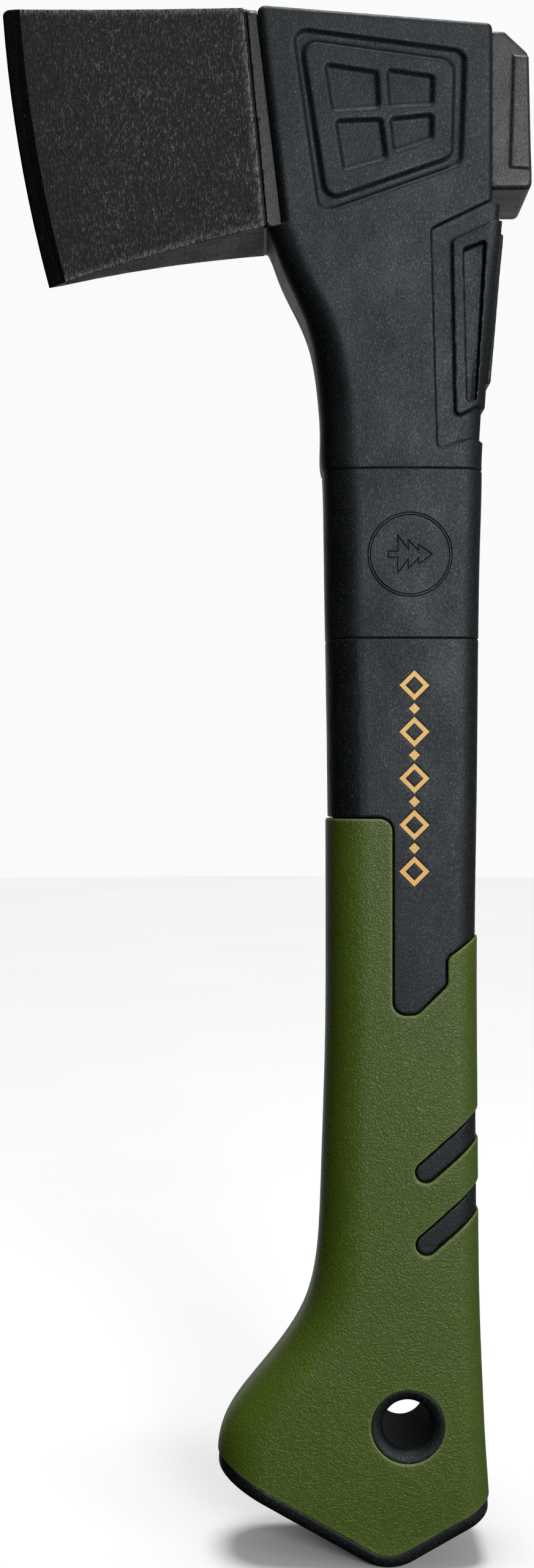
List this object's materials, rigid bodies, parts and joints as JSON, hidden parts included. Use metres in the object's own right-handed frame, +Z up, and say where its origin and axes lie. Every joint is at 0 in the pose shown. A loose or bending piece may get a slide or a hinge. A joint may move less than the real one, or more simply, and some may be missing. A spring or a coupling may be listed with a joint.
{
  "type": "hatchet",
  "caption": "Small camp hatchet: a dark forged head with hammer poll in a black nylon housing, on a slim handle with a soft green grip, flared butt and lined lanyard hole.",
  "frame": {"origin": "centre of the lanyard hole, on the tool's middle plane", "axes": "+Z up the handle to the head, +X back to the hammer poll, so the cutting edge faces -X; Y is across the tool, which is symmetric about Y = 0"},
  "size_m": [0.1247, 0.0286, 0.3666],
  "materials": {
    "coated_steel": "matte",
    "black_nylon": "matte",
    "soft_grip": "matte",
    "gold_print": "satin"
  },
  "bodies": {
    "root": {"axe_head": "coated_steel", "head_housing": "black_nylon", "badge_sleeve": "black_nylon", "handle_core": "black_nylon", "grip_overmould": "soft_grip", "lanyard_eyelet": "black_nylon", "butt_cap": "black_nylon", "side_marks": "gold_print"}
  },
  "joints": []
}
